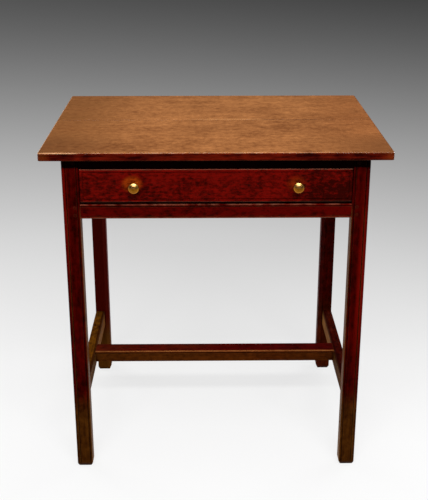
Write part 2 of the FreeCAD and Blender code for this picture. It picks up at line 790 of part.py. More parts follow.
def make_glue_blocks():
    """Blocks in the corner between the back apron and the top, their lower faces planed to a slope."""
    blocks = []
    length, high = dims.glue_block_length, dims.glue_block_height
    deep = dims.drawer_back_gap - dims.glue_block_gap
    for share in BLOCK_SHARES:
        wedge = doc.addObject("Part::Wedge", "glue_block")
        for name, extent in (
            ("Xmin", 0), ("Xmax", length), ("X2min", 0), ("X2max", length), ("Ymin", 0), ("Ymax", deep),
            ("Zmin", high - dims.glue_block_lip), ("Zmax", high), ("Z2min", 0), ("Z2max", high),
        ):
            bind(wedge, name, extent)
        x = leg_inner_x * 2 * share - length / 2
        blocks.append(place(wedge, x, apron_inner_y - deep, underside - high))
    node(group("glue_blocks", blocks), "glue_blocks")


# The drawer

def tail_span(shares, height):
    """The low and high edge of a dovetail at its root."""
    return height * shares[0], height * shares[1]


def dovetail_sockets(body, low, height, root, tip, toward_front):
    """Sockets for the sides' dovetails, at both ends of the drawer's front or back. The dovetails lie
    from root to tip along the drawer, and low is where they start to be measured up this board."""
    slack, flare = dims.joint_clearance, height * FLARE_SHARE
    for number, (x, reverse) in enumerate(((size(0), True), (drawer_half * 2, False)), start=1):
        sockets = sketch_on(body, f"sockets_{number}", "YZ_Plane", x)
        for shares in TAIL_SHARES:
            foot, top = tail_span(shares, height)
            foot, top = low + foot - slack, low + top + slack
            corners = [(root, foot), (tip, foot - flare), (tip, top + flare), (root, top)]
            outline(sockets, corners[::-1] if toward_front else corners)
        pocket(body, f"dovetail_joint_{number}", sockets, dims.drawer_side_thickness + slack, reverse)


def make_drawer_front():
    width, height, thickness = drawer_half * 2, drawer_front_height, dims.drawer_front_thickness
    body = place(new_body("drawer_front_blank"), -drawer_half, drawer_face_y, drawer_front_bottom)
    face = rectangle(sketch_on(body, "face", "XZ_Plane"), 0, 0, width, height)
    pad(body, "board", face, thickness, reverse=True)
    dress(body, "Fillet", "arris", dims.drawer_front_round, lambda box: flat_at(box, "Y", 0))
    ring = sketch_on(body, "bead_ring", "XZ_Plane")
    for margin in (dims.drawer_bead_width, dims.drawer_bead_width + dims.drawer_quirk_width):
        rectangle(ring, margin, margin, width - margin, height - margin)
    pocket(body, "quirk", ring, dims.drawer_quirk_depth)

    slack = dims.joint_clearance
    groove_low = drawer_panel_bottom - drawer_front_bottom - slack
    groove = sketch_on(body, "bottom_groove", "XZ_Plane", thickness)
    reach = dims.drawer_side_thickness - dims.drawer_groove_depth
    rectangle(groove, reach, groove_low, width - reach, groove_low + dims.drawer_bottom_thickness + 2 * slack)
    pocket(body, "groove", groove, dims.drawer_groove_depth, reverse=True)

    low = drawer_side_bottom - drawer_front_bottom
    dovetail_sockets(body, low, drawer_side_height, thickness, dims.dovetail_lap - slack, toward_front=True)
    bore = dims.knob_shank_diameter + 2 * dims.hole_clearance
    start = drawer_face_y - dims.overrun
    length = thickness + 2 * dims.overrun
    drills = [rod("knob_drill", bore, length, knob_x * side, start, knob_z, NORTH) for side in (LEFT, RIGHT)]
    drilled("drawer_front", body, group("knob_drills", drills))


def make_drawer_sides():
    """A side with dovetails at both ends: half-blind into the front, through the back."""
    tip_y = drawer_face_y + dims.dovetail_lap
    root = dims.drawer_front_thickness - dims.dovetail_lap
    end, height = drawer_end_y - tip_y, drawer_side_height
    back_root = end - dims.drawer_back_thickness
    body = place(new_body("drawer_side_left"), -drawer_half, tip_y, drawer_side_bottom)
    back_low = drawer_back_bottom - drawer_side_bottom
    slack = dims.joint_clearance

    corners = [(root, size(0)), (end, size(0)), (end, back_low - slack), (back_root, back_low - slack)]
    for shares in TAIL_SHARES:
        low, high = (back_low + edge for edge in tail_span(shares, drawer_back_height))
        flare = drawer_back_height * FLARE_SHARE
        corners += [(back_root, low), (end, low - flare), (end, high + flare), (back_root, high)]
    back_high = back_low + drawer_back_height + slack
    corners += [(back_root, back_high), (end, back_high), (end, height), (root, height)]
    for shares in reversed(TAIL_SHARES):
        low, high = tail_span(shares, height)
        flare = height * FLARE_SHARE
        corners += [(root, high), (size(0), high + flare), (size(0), low - flare), (root, low)]
    profile = outline(sketch_on(body, "profile", "YZ_Plane"), corners)
    pad(body, "board", profile, dims.drawer_side_thickness)

    groove = sketch_on(body, "bottom_groove", "YZ_Plane", dims.drawer_side_thickness)
    groove_low = dims.drawer_bottom_rise - slack
    groove_high = dims.drawer_bottom_rise + dims.drawer_bottom_thickness + slack
    rectangle(groove, -dims.overrun, groove_low, end + dims.overrun, groove_high)
    pocket(body, "groove", groove, dims.drawer_groove_depth)
    mirrored("drawer_side_right", node(body, "drawer_side_left"))


def make_drawer_back(drills):
    width, height, thickness = drawer_half * 2, drawer_back_height, dims.drawer_back_thickness
    body = place(new_body("drawer_back_blank"), -drawer_half, drawer_end_y - thickness, drawer_back_bottom)
    face = rectangle(sketch_on(body, "face", "XZ_Plane"), 0, 0, width, height)
    pad(body, "board", face, thickness, reverse=True)
    dovetail_sockets(body, size(0), height, size(0), thickness, toward_front=False)
    drilled("drawer_back", body, drills)


def make_drawer_bottom(drills):
    slack = dims.joint_clearance
    half = drawer_inside + dims.drawer_groove_depth - slack
    front = drawer_inner_y - dims.drawer_groove_depth + slack
    blank = block("drawer_bottom_blank", half * 2, drawer_end_y - front, dims.drawer_bottom_thickness,
                  -half, front, drawer_panel_bottom)
    drilled("drawer_bottom", blank, drills)


def make_knobs():
    """A turned knob with a bevel round its face, on a neck and a rose, its shank through the drawer front,
    with a square nut inside."""
    head, face = dims.knob_diameter / 2, dims.knob_face_diameter / 2
    neck, rose, shank = dims.knob_neck_diameter / 2, dims.knob_rose_diameter / 2, dims.knob_shank_diameter / 2
    bevel_out = dims.knob_projection - dims.knob_bevel_depth
    rim_out = bevel_out - dims.knob_rim_width
    shank_end = -dims.drawer_front_thickness - dims.nut_thickness - dims.knob_shank_spare
    half_turn = Rotation(Vector(*UP), 180)
    body = place(new_body("knob_left"), -knob_x, drawer_face_y, knob_z, half_turn)
    profile = outline(sketch_on(body, "profile", "XY_Plane"), [
        (size(0), shank_end), (shank, shank_end), (shank, size(0)), (rose, size(0)),
        (rose, dims.knob_rose_thickness), (neck, dims.knob_rose_thickness), (neck, rim_out - dims.knob_back_depth),
        (head, rim_out), (head, bevel_out), (face, dims.knob_projection), (size(0), dims.knob_projection),
    ])
    turned = body.newObject("PartDesign::Revolution", "turning")
    turned.Profile = profile
    turned.ReferenceAxis = (profile, ["V_Axis"])
    doc.recompute()
    dress(body, "Fillet", "rose_edge", dims.knob_rose_thickness / 2,
          lambda box: flat_at(box, "Y", dims.knob_rose_thickness) and near(box.XMax, rose))
    dress(body, "Fillet", "rim_edges", dims.knob_rim_round,
          lambda box: (flat_at(box, "Y", rim_out) or flat_at(box, "Y", bevel_out)) and near(box.ZMax, head))
    dress(body, "Fillet", "face_edge", dims.knob_face_round,
          lambda box: flat_at(box, "Y", dims.knob_projection) and near(box.ZMax, face))
    mirrored("knob_right", node(body, "knob_left"))

    nuts = []
    for side in (LEFT, RIGHT):
        x = knob_x * side
        blank = block("nut_blank", dims.nut_size, dims.nut_thickness, dims.nut_size,
                      x - dims.nut_size / 2, drawer_inner_y, knob_z - dims.nut_size / 2)
        bore = dims.knob_shank_diameter + 2 * dims.hole_clearance
        length = dims.nut_thickness + 2 * dims.overrun
        drill = rod("nut_drill", bore, length, x, drawer_inner_y - dims.overrun, knob_z, NORTH)
        nut = doc.addObject("Part::Cut", "nut")
        nut.Base = blank
        nut.Tool = drill
        nuts.append(nut)
    node(group("knob_nuts", nuts), "knob_nuts")


def make_drawer():
    make_drawer_front()
    make_drawer_sides()
    drills = nail_group("nail_drill", dims.hole_clearance, dims.joint_end_clearance)
    nail_drills = group("nail_drills", drills)
    node(group("drawer_nails", nail_group("nail", 0, 0)), "drawer_nails")
    make_drawer_back(nail_drills)
    make_drawer_bottom(nail_drills)
    make_knobs()


frame_drills = make_pegs()
kicker_drills = make_top()
make_legs(frame_drills)
make_front_rails(frame_drills)
make_aprons(frame_drills)
make_stretchers(frame_drills)
make_runners()
make_kickers(kicker_drills)
make_stops()
make_glue_blocks()
make_drawer()
doc.recompute()

faults = [item.Name for item in doc.Objects if {"Invalid", "Error"} & set(item.State)]
faults += [item.Label for item in nodes if item.Shape.isNull() or not item.Shape.isValid()]
if faults:
    raise RuntimeError(f"failed: {faults}")
os.makedirs("parts", exist_ok=True)
for item in nodes:
    item.Shape.exportStep(f"parts/{item.Label}.step")
print(len(nodes), "nodes")
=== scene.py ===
"""The finish of a country tavern table: waxed top, dark red frame, one drawer with brass knobs."""
import math

import bpy
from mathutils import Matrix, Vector


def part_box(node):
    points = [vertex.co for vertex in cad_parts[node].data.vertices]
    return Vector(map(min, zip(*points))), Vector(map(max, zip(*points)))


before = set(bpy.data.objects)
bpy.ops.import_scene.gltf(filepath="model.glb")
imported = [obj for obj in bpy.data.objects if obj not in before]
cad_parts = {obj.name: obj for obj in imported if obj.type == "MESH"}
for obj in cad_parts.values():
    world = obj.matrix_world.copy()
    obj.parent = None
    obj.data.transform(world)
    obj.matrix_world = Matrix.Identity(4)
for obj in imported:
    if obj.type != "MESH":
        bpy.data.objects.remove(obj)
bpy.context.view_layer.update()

# The camera, in metres and degrees, with its focal length in pixels of a picture 428 by 500
CAMERA_PLACE = (-0.024, -1.9715, 1.2031)
CAMERA_TURN = 0.65
CAMERA_TILT = 19.633
CAMERA_RISE = -0.07
PICTURE_HEIGHT = 500
FOCUS_LENGTH = 931.2
FILM_HEIGHT = 36.0

# How far noise is spread, how strongly an edge is read, and how often edges and hollows are felt
CLOUD_SPREAD = 3.2
EDGE_GAIN = 3.4
FEELERS = 8

# Depths of relief, in metres
GRAIN_DEPTH = 0.0003
SPECK_DEPTH = 0.0001
TURNING_DEPTH = 0.00006

# Places on the table in metres, each from where a change begins to where it is full: of the finish,
# of painted light bounced from the floor onto the sides that face in, and of painted shadow on the
# front pegs
BOUNCE_BELOW = (0.604, 0.586)
BOUNCE_PALER_BELOW = (0.2, 0.12)
SHADE_ABOVE = (0.68, 0.683)
SHADE_AHEAD = (-0.22, -0.228)
SEAM_REACH = (0.004, 0.002)
KNOB_NECK = (0.009, 0.014)
KNOB_FACE = (0.0096, 0.0072)

# How black the painted shadow under the top is
SHADE = 0.93

# The joint between the boards of the top
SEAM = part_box("top_board_front")[1].y


def paint(red, green, blue):
    """A colour as on a paint card, each part 0 to 255, in the linear values that shaders mix."""
    parts = []
    for part in (red, green, blue):
        part = part / 255
        parts.append(part / 12.92 if part <= 0.04045 else ((part + 0.055) / 1.055) ** 2.4)
    return (*parts, 1.0)


# Tints of the shine
CLEAR_SHINE = (1.0, 1.0, 1.0, 1.0)
RED_SHINE = (1.0, 0.2, 0.1, 1.0)

# Colours of the top
TOP_BROWN, TOP_HONEY = paint(122, 71, 36), paint(197, 130, 76)
# Painted shade at the ends of the top, the left one olive as a painted reflection
LEFT_END, RIGHT_END = paint(108, 66, 30), paint(140, 76, 36)
HANDLED_CORNER = paint(96, 58, 30)
TOP_CHECK, TOP_STAIN = paint(86, 48, 24), paint(118, 70, 36)
EDGE_DARK, EDGE_RED = paint(32, 1, 1), paint(104, 21, 6)
EDGE_RUBBED = paint(146, 74, 28)
END_GRAIN_DARK, END_GRAIN_BROWN = paint(60, 14, 4), paint(122, 54, 12)
# The pale arris is worn wood with a painted highlight
ARRIS_BROWN, ARRIS_PALE, ARRIS_LOWER = paint(112, 66, 36), paint(208, 156, 112), paint(124, 72, 46)
# The seam's brown and dirt, and its painted highlight
SEAM_BROWN, SEAM_DIRT, SEAM_HIGHLIGHT = paint(92, 54, 26), paint(70, 38, 16), paint(222, 158, 98)
UNDER_DARK, UNDER_BROWN = paint(46, 27, 16), paint(92, 60, 36)

# Colours of the frame
# The brightest red is painted light on the outer strips of the front legs
STAIN_DARK, STAIN_RED, STAIN_HIGHLIGHT = paint(34, 1, 0), paint(85, 4, 2), paint(112, 10, 3)
STAIN_PORE, STAIN_EDGE = paint(16, 1, 0), paint(34, 2, 1)
BARE_DARK, BARE_BROWN = paint(44, 16, 2), paint(86, 47, 10)
BARE_AMBER, BARE_OLIVE = paint(94, 54, 14), paint(136, 86, 10)
# Painted light on the sides that face in, as if lit by the pale floor
BOUNCE_BROWN, BOUNCE_PALE = paint(92, 50, 12), paint(150, 106, 54)
# Darker down in grooves; painted shade where other pieces shelter; black for painted shadow under
# the top
GROOVE_DARK, SHELTER_SHADE, PAINTED_SHADOW = paint(12, 1, 0), paint(9, 1, 0), paint(3, 1, 1)
# The pale bead colours are wear with a painted highlight on the crests
BEAD_FLANK, BEAD_PALE, BEAD_AMBER = paint(120, 36, 10), paint(164, 116, 90), paint(150, 98, 50)
FRAME_RUBBED = paint(158, 104, 66)

# Colours of the drawer's front
CRIMSON_DARK, CRIMSON = paint(43, 1, 0), paint(112, 9, 4)
CRIMSON_PORE, CRIMSON_HOLLOW = paint(22, 1, 0), paint(16, 1, 0)
# The rim colour is wear with a painted highlight
KNOB_HALO, DRAWER_RIM = paint(166, 68, 10), paint(164, 112, 88)

# Colours of the inner pieces and the pegs
INNER_BROWN, INNER_PALE = paint(84, 56, 32), paint(152, 112, 72)
INNER_PORE, INNER_HOLLOW, INNER_RUBBED = paint(52, 33, 18), paint(40, 26, 16), paint(176, 138, 96)
PEG_DARK, PEG_RED = paint(40, 3, 1), paint(78, 14, 6)
PEG_RUBBED, PEG_HOLLOW = paint(140, 84, 56), paint(12, 3, 1)

# Colours of the metals
# The paler brass is a painted highlight; the dull brass is tarnish, and on the face a painted dark
# reflection
BRASS_RIM, BRASS_HIGHLIGHT, BRASS_DULL = paint(182, 116, 34), paint(214, 164, 72), paint(122, 76, 0)
IRON, RUST = paint(44, 40, 38), paint(96, 54, 30)

# Greys of the room and the floor, as they shed light and as they are seen
ROOM_SHED, ROOM_SEEN = paint(104, 104, 104), paint(47, 47, 47)
FLOOR_SHED = paint(122, 122, 122)


class Wire:
    """A value, vector or colour on its way through a finish.

    Sums written with it add the nodes that work them out."""

    def __init__(self, finish, socket):
        self.finish = finish
        self.socket = socket

    def __add__(self, other):
        return self.finish.sum("ADD", self, other)

    def __radd__(self, other):
        return self.finish.sum("ADD", other, self)

    def __sub__(self, other):
        return self.finish.sum("SUBTRACT", self, other)

    def __rsub__(self, other):
        return self.finish.sum("SUBTRACT", other, self)

    def __mul__(self, other):
        return self.finish.sum("MULTIPLY", self, other)

    def __rmul__(self, other):
        return self.finish.sum("MULTIPLY", other, self)

    def __truediv__(self, other):
        return self.finish.sum("DIVIDE", self, other)

    def __rtruediv__(self, other):
        return self.finish.sum("DIVIDE", other, self)

    def __pow__(self, other):
        return self.finish.sum("POWER", self, other)

    def __rpow__(self, other):
        return self.finish.sum("POWER", other, self)

    def __neg__(self):
        return 0 - self

    def __abs__(self):
        return self.finish.sum("ABSOLUTE", self)

    def fraction(self):
        return self.finish.sum("FRACT", self)

    def least(self, other):
        return self.finish.sum("MINIMUM", self, other)

    def most(self, other):
        return self.finish.sum("MAXIMUM", self, other)

    def held(self):
        """Kept between 0 and 1."""
        return self.finish.add("Clamp", {}, {"Value": self})

    def rise(self, low, high):
        """0 at low, 1 at high, flat beyond them and smooth between; low may be the larger."""
        return self.finish.add("MapRange", {"interpolation_type": "SMOOTHSTEP"},
                               {"Value": self, "From Min": low, "From Max": high})

    def below(self, limit, blur):
        """1 below the limit and 0 above it, with a border as soft as blur to each side."""
        return self.rise(limit + blur, limit - blur)


class Finish:
    """What a material, or the room, is mixed from."""

    def __init__(self, holder):
        holder.use_nodes = True
        self.holder = holder
        self.tree = holder.node_tree
        self.tree.nodes.clear()

    def add(self, kind, settings, sockets, out=None):
        """Adds a node: its settings first, then the values and links of its sockets.

        Gives the output asked for, or else the first one."""
        node = self.tree.nodes.new("ShaderNode" + kind)
        for name, value in settings.items():
            setattr(node, name, value)
        for name, value in sockets.items():
            socket = next(s for s in node.inputs if name in (s.identifier, s.name))
            if isinstance(value, Wire):
                self.tree.links.new(value.socket, socket)
            else:
                socket.default_value = value
        for socket in node.outputs:
            if out in (None, socket.identifier, socket.name):
                return Wire(self, socket)

    def sum(self, operation, *terms):
        """One step of arithmetic, on vectors where any term is one."""
        vectors = any(isinstance(term, tuple)
                      or isinstance(term, Wire) and term.socket.type == "VECTOR" for term in terms)
        kind, socket = ("VectorMath", "Vector") if vectors else ("Math", "Value")
        if vectors:
            terms = [term if isinstance(term, (tuple, Wire)) else (term, term, term)
                     for term in terms]
        return self.add(kind, {"operation": operation}, dict(zip((socket, socket + "_001"), terms)))

    def mix(self, first, second, share):
        """A colour between two. A share below 0 or above 1 counts as 0 or 1."""
        return self.add("Mix", {"data_type": "RGBA", "clamp_factor": True}, {
            "Factor_Float": share, "A_Color": first, "B_Color": second}, "Result_Color")

    def layers(self, colour, *coats):
        """Colours laid one over another, each as far as its share."""
        for coat, share in coats:
            colour = self.mix(colour, coat, share)
        return colour

    def split(self, vector):
        parts = self.add("SeparateXYZ", {}, {"Vector": vector})
        return tuple(Wire(self, socket) for socket in parts.socket.node.outputs)

    def join(self, x, y, z):
        return self.add("CombineXYZ", {}, {"X": x, "Y": y, "Z": z})

    def cloud(self, place, size, detail=2.0, rough=0.5, bend=0.0):
        """Cloudy variation, mostly between -1 and 1.

        size is how big a cloud is each way, in millimetres."""
        noise = self.add("TexNoise", {}, {
            "Vector": place * tuple(1000 / part for part in size), "Scale": 1.0,
            "Detail": detail, "Roughness": rough, "Distortion": bend}, "Fac")
        return CLOUD_SPREAD * (noise - 0.5)

    def spot(self):
        """Where a point is on the table at rest, in metres."""
        return self.add("TexCoord", {}, {}, "Object")

    def facing(self):
        """Which way the surface faces, as x, y and z."""
        return self.split(self.add("TexCoord", {}, {}, "Normal"))

    def edges(self, reach):
        """Rises towards 1 along outer edges, 0 away from them."""
        eased = self.add("Bevel", {"samples": FEELERS}, {"Radius": reach}, "Normal")
        true = self.add("NewGeometry", {}, {}, "Normal")
        return EDGE_GAIN * (1 - self.add("VectorMath", {"operation": "DOT_PRODUCT"},
                                         {"Vector": eased, "Vector_001": true}, "Value"))

    def corners(self, reach, alone=True):
        """Rises towards 1 down in grooves and inner corners.

        These are the piece's own alone, or also those where other pieces shelter it."""
        return 1 - self.add("AmbientOcclusion", {"samples": FEELERS, "only_local": alone},
                            {"Distance": reach}, "AO")

    def rubbing(self):
        """Where handling has broken the finish, patchy along every edge."""
        return self.cloud(self.spot(), (26, 26, 26), 4.0, 0.65)

    def surface(self, colour, rough, height, depth, shine, tint=CLEAR_SHINE,
                coat=0.0, coat_rough=0.2, metal=0.0):
        """Closes the finish: its colour, roughness, relief of that depth, and its shine."""
        bump = self.add("Bump", {}, {
            "Strength": 1.0, "Distance": depth, "Height": height}, "Normal")
        shader = self.add("BsdfPrincipled", {}, {
            "Base Color": colour, "Roughness": rough, "Metallic": metal,
            "Specular IOR Level": shine, "Specular Tint": tint,
            "Coat Weight": coat, "Coat Roughness": coat_rough, "Normal": bump})
        self.add("OutputMaterial", {}, {"Surface": shader})
        return self.holder


class Plank:
    """The figure of one piece of wood: its growth rings, fibres, pores and broad changes of tone.

    grain is the way its length runs. seed moves it within the tree, so that no two look alike.
    heart is where the middle of the tree lies, across and into the piece, in metres from the
    piece's own middle. wander is how far the rings stray along the length."""

    def __init__(self, finish, node, grain, seed, ring_gap, heart=(0.03, -0.09), wander=0.03):
        low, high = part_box(node)
        x, y, z = finish.split(finish.spot() - tuple((low + high) / 2))
        along, across, into = {"x": (x, y, z), "y": (y, x, z), "z": (z, x, y)}[grain]
        self.place = finish.join(along + 3.7 * seed, across + 1.3 * seed, into - 2.1 * seed)
        drift = finish.cloud(self.place, (620, 200, 200))
        ripple = finish.cloud(self.place, (110, 33, 33))
        sideways = across - heart[0] + 0.3 * wander * drift
        deep = into - heart[1] + 0.02 * along
        from_heart = (sideways * sideways + deep * deep) ** 0.5
        ring = (from_heart / ring_gap + 0.2 * ripple).fraction()
        self.rings = ring.rise(0.1, 0.8) * (1 - ring.rise(0.86, 1.0)) - 0.45
        self.fibres = finish.cloud(self.place, (200, 5, 5), 4.0, 0.6)
        self.pores = finish.cloud(self.place, (22, 0.8, 0.8), 1.0).rise(0.32, 0.7)
        self.patches = finish.cloud(self.place, (420, 140, 140), 3.0, 0.55)
        self.blotches = finish.cloud(self.place, (46, 34, 34), 3.0, 0.55, 0.3)
        self.curl = finish.cloud(self.place, (15, 90, 90), 3.0, 0.5, 0.8)


def planed(fin, wood):
    """The relief of hand-planed wood: fibres, open pores and shallow hollows."""
    hollows = fin.cloud(fin.spot(), (70, 70, 70), 1.0)
    return 0.14 * wood.fibres - 0.5 * wood.pores + 0.9 * hollows


def top_board(node, seed, heart):
    """Waxed and faded upper face with a worn arris that also carries a painted highlight, a painted
    highlight along the seam, dark red edges, and a bare underside.
    """
    fin = Finish(bpy.data.materials.new("waxed_" + node))
    wood = Plank(fin, node, "x", seed, ring_gap=0.0062, heart=heart, wander=0.05)
    x, y, _ = fin.split(fin.spot())
    sideways, _, up = fin.facing()
    upward, downward = up.rise(0.3, 0.8), up.rise(-0.4, -0.8)
    patchy = fin.rubbing()
    streaks = fin.cloud(wood.place, (40, 8, 8), 5.0, 0.7)
    flecks = fin.cloud(wood.place, (11, 13, 13), 3.0, 0.6)

    # The upper face, darker at its ends as painted shade, the left end also olive as a painted
    # reflection, and darker where hands come to the front corners
    tone = (0.43 + 0.07 * wood.fibres + 0.06 * wood.rings + 0.24 * wood.patches
            + 0.3 * wood.blotches + 0.11 * streaks + 0.31 * flecks)
    left = (-x).rise(0.12, 0.33) * (0.42 + 0.3 * wood.patches + 0.25 * wood.blotches).held()
    right = x.rise(0.16, 0.34) * (0.28 + 0.3 * wood.blotches).held()
    handled = (-y).rise(0.08, 0.2) * abs(x).rise(0.12, 0.36) * (0.56 + 0.15 * wood.blotches)
    checks = fin.cloud(wood.place, (16, 3.5, 3.5), 2.0).rise(0.55, 0.9)
    checks = checks * fin.cloud(fin.spot(), (120, 120, 120)).rise(0.1, 0.7)
    stain = fin.cloud(fin.spot(), (90, 60, 60), 4.0, 0.6).rise(0.4, 0.85)
    face = fin.layers(
        fin.mix(TOP_BROWN, TOP_HONEY, tone),
        (LEFT_END, left), (RIGHT_END, right), (HANDLED_CORNER, handled),
        (TOP_CHECK, 0.45 * wood.pores + 0.5 * checks), (TOP_STAIN, 0.35 * stain))

    # The edges, streaked along the grain, rubbed at the corners and browner on the end grain
    edge_tone = (0.5 + 0.5 * wood.fibres + 0.5 * wood.blotches + 0.3 * wood.patches + 0.8 * streaks
                 + 0.2 * abs(x).rise(0.25, 0.05) - 0.12 * x.rise(0.1, 0.3))
    rubbed_end = abs(x).rise(0.312, 0.343) * (0.5 + 0.6 * patchy)
    end_grain = fin.mix(END_GRAIN_DARK, END_GRAIN_BROWN, edge_tone)
    side = fin.layers(
        fin.mix(EDGE_DARK, EDGE_RED, edge_tone),
        (EDGE_RUBBED, 0.6 * rubbed_end), (end_grain, abs(sideways).rise(0.5, 0.9)))

    # The arris, worn and with a painted highlight, brightest at the left and dull at the right, and
    # the seam with its dirt and a painted highlight along it
    arris = up.rise(0.15, 0.5) * up.rise(0.998, 0.95)
    arris_right = x.rise(0.2, 0.29)
    bright = 0.03 + 0.4 * patchy + 0.6 * (-x).rise(0.255, 0.285) - 0.3 * arris_right
    seam = abs(y - SEAM).rise(*SEAM_REACH)
    dirt = seam * (0.14 + 0.28 * x.rise(0.09, 0.13) * x.rise(0.28, 0.16) + 0.16 * patchy)
    seam_glint = abs(y - SEAM - 0.006).rise(0.005, 0.002) * abs(x - 0.03).rise(0.1, 0.04)
    seam_glint = seam_glint * (0.5 + 0.3 * patchy)
    lower_arris = up.rise(-0.1, -0.5) * up.rise(-0.998, -0.95) * (0.5 + 0.5 * patchy)
    under = fin.mix(UNDER_DARK, UNDER_BROWN, tone)
    colour = fin.layers(
        side, (face, upward),
        (ARRIS_BROWN, 0.55 * arris * arris_right), (ARRIS_PALE, arris * (1 - seam) * bright),
        (SEAM_BROWN, 0.5 * arris * seam), (SEAM_DIRT, dirt * upward),
        (SEAM_HIGHLIGHT, seam_glint * upward), (ARRIS_LOWER, 0.8 * lower_arris), (under, downward))

    rough = 0.34 + 0.06 * wood.patches + 0.1 * wood.pores + 0.25 * downward
    dents = fin.cloud(fin.spot(), (17, 17, 17)).rise(0.55, 0.78)
    waves = fin.cloud(fin.spot(), (140, 110, 110), 1.0)
    height = 0.12 * wood.fibres - 0.4 * wood.pores - 0.3 * dents + 1.6 * waves
    return fin.surface(colour, rough, height, GRAIN_DEPTH, shine=0.06, tint=RED_SHINE,
                       coat=0.3 * upward, coat_rough=0.14)


def frame_piece(node, grain, seed, tint=0.0, flecked=0.6, scuffed=0.0, bare_wood=BARE_BROWN,
                foot=0.0, foot_bare=1.0, red_top=0.0, lit_strip=None, inside=0.0, dark_edge=0.0,
                shelter_shade=0.0, shaded=0.0, shadow_all_over=0.0, rubbed=0.3, front_lines=(0.0, 0.0),
                line=BEAD_PALE, rough=0.42, shine=0.05):
    """Old dark red stain, worn in the ways that each piece needs, with the painted light and shade
    that some pieces carry.

    tint: how much brighter the stain is
    flecked: how strong its flecks are
    scuffed: how far it is worn to brown
    bare_wood: the colour of the wood under the stain
    foot: the height in metres below which the stain is gone
    foot_bare: how far it is gone there
    red_top: how much less brown its up-facing faces are
    lit_strip: a redder strip painted along the outer side as light falling on its bead, its width,
    strength, middle height and reach
    inside: how far the side that faces in is painted pale, as painted light bounced from the floor,
    above 0 where that side is to the right
    dark_edge: how dark the upper edge of that side is
    sheltered: how black it is painted, as shade, where other pieces shelter it
    shaded: how far down from its upper end the front is painted black as the shadow of the top
    sooty: how black it is painted all over, as a painted shadow of the top
    rubbed: how pale its edges are
    front_lines: how pale the beads along the top and the bottom of its front are, worn and with a
    painted highlight on their crests
    line: the colour of those beads"""
    fin = Finish(bpy.data.materials.new("stained_" + node))
    wood = Plank(fin, node, grain, seed, ring_gap=0.0045)
    low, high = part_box(node)
    x, y, z = fin.split(fin.spot())
    sideways, forward, up = fin.facing()
    patchy = fin.rubbing()
    flecks = fin.cloud(wood.place, (14, 10, 10), 4.0, 0.65)
    tone = (0.44 + tint + 0.3 * wood.fibres + 0.12 * wood.rings + 0.25 * wood.patches
            + 0.3 * wood.blotches + flecked * flecks)
    coats = []
    # Painted light: a brighter red strip where light falls on the outer bead
    if lit_strip:
        width, strength, middle, reach = lit_strip
        from_outside = (high.x - x if low.x > 0 else x - low.x) + 0.001 * wood.blotches
        strip = from_outside.below(width, 0.004) * abs(z - middle).rise(reach, 0.03)
        coats.append((STAIN_HIGHLIGHT, (strength + 0.2 * wood.fibres) * strip))
    brown = scuffed + 0.5 * scuffed * wood.patches
    if foot:
        ragged = z + 0.014 * wood.patches + 0.008 * wood.fibres
        brown = brown + foot_bare * ragged.below(foot, 0.036)
    if red_top:
        brown = brown - red_top * up.rise(0.5, 0.9)
    coats += [(fin.mix(BARE_DARK, bare_wood, tone + 0.08), brown), (STAIN_PORE, 0.5 * wood.pores)]
    # Painted light: the side that faces in painted paler, most near the floor, as light bounced
    # from the pale floor
    if inside:
        bounced = fin.mix(BOUNCE_BROWN, BOUNCE_PALE, 0.4 + 0.3 * wood.fibres + 0.3 * wood.patches)
        bounce_share = abs(inside) * (0.55 + 0.45 * z.rise(*BOUNCE_PALER_BELOW)) + 0.25 * wood.blotches
        inward = (math.copysign(1, inside) * sideways).rise(0.35, 0.75)
        coats.append((bounced, bounce_share.held() * z.rise(*BOUNCE_BELOW) * inward))
    if dark_edge:
        from_edge = (high.z - z).most(high.x - x if inside > 0 else x - low.x)
        coats.append((STAIN_EDGE, dark_edge * (from_edge + 0.001 * wood.fibres).rise(0.007, 0.004)))
    # Darker down in grooves and inner corners
    in_hollows = fin.corners(0.004).rise(0.14, 0.42)
    coats.append((GROOVE_DARK, 0.85 * in_hollows))
    # Painted shade where other pieces shelter the piece
    if shelter_shade:
        coats.append((SHELTER_SHADE, shelter_shade * fin.corners(0.05, alone=False).rise(0.3, 0.5)))
    # Painted shadow: the upper end of the front painted black under the top
    if shaded:
        from_top = high.z - z + 0.001 * wood.blotches
        coats.append((PAINTED_SHADOW, SHADE * (from_top.below(shaded, 0.0014) * forward.rise(-0.1, -0.5))))
    worn = fin.edges(0.0022) * (1 - in_hollows) * (0.5 + 0.7 * patchy)
    coats.append((FRAME_RUBBED, rubbed * worn))
    # Bead crests painted pale: wear and a painted highlight
    for pale, edge in zip(front_lines, (high.z, low.z)):
        if pale:
            from_edge = abs(z - edge).most(y - low.y)
            flank = from_edge.rise(0.0052, 0.0026) * (0.8 * pale + 0.4 * patchy)
            crest = from_edge.rise(0.0028, 0.0012) * (pale + 0.45 * patchy)
            coats += [(BEAD_FLANK, flank), (line, crest)]
    # Painted shadow: the whole piece painted black where the top shades it
    if shadow_all_over:
        coats.append((PAINTED_SHADOW, shadow_all_over))
    colour = fin.layers(fin.mix(STAIN_DARK, STAIN_RED, tone), *coats)
    gloss = rough + 0.06 * wood.patches + 0.15 * wood.pores
    return fin.surface(colour, gloss, planed(fin, wood), GRAIN_DEPTH, shine, RED_SHINE)


